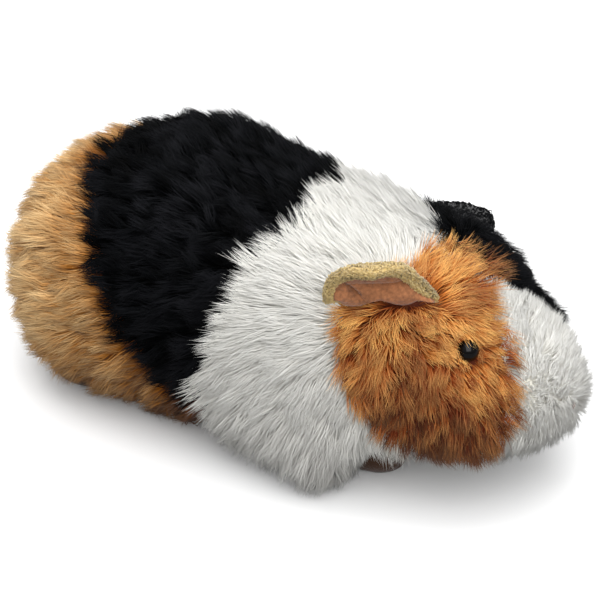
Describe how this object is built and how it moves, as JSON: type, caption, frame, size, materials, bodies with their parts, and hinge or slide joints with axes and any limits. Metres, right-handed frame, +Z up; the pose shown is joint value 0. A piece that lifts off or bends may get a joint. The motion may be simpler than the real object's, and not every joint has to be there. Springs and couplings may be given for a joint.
{
  "type": "plush guinea pig",
  "caption": "Plush guinea pig lying flat: stuffed long-pile body with a black saddle and white shoulders, an orange and a black cheek, cupped ears and plastic eyes.",
  "frame": {"origin": "under the middle of the body, on the surface that it lies on", "axes": "+X towards the nose, +Y to the animal's left, +Z up"},
  "size_m": [0.257, 0.1266, 0.124],
  "materials": {
    "tan_pile": "long faux-fur pile, tan with darker roots",
    "black_pile": "long faux-fur pile, black with a soft sheen",
    "white_pile": "long faux-fur pile, off-white",
    "orange_pile": "faux-fur pile, rust orange with pale tips and dark streaks",
    "belly_pile": "long faux-fur pile, brown",
    "yellow_terry": "looped terry, dull yellow",
    "black_terry": "looped terry, black",
    "pink_velour": "velour, pink-brown",
    "foot_velour": "velour, dark brown",
    "nose_thread": "satin stitches",
    "eye_plastic": "glossy moulded plastic, black"
  },
  "bodies": {
    "root": {"rump": "tan_pile", "saddle": "black_pile", "shoulders": "white_pile", "belly": "belly_pile", "muzzle": "white_pile", "nose": "nose_thread", "cheek_right": "orange_pile", "cheek_left": "black_pile", "eye_right": "eye_plastic", "eye_left": "eye_plastic", "ear_right_back": "yellow_terry", "ear_right_lining": "pink_velour", "ear_left_back": "black_terry", "ear_left_lining": "pink_velour", "foot_front_right": "foot_velour", "foot_front_left": "foot_velour", "foot_hind_right": "foot_velour", "foot_hind_left": "foot_velour"}
  },
  "joints": []
}
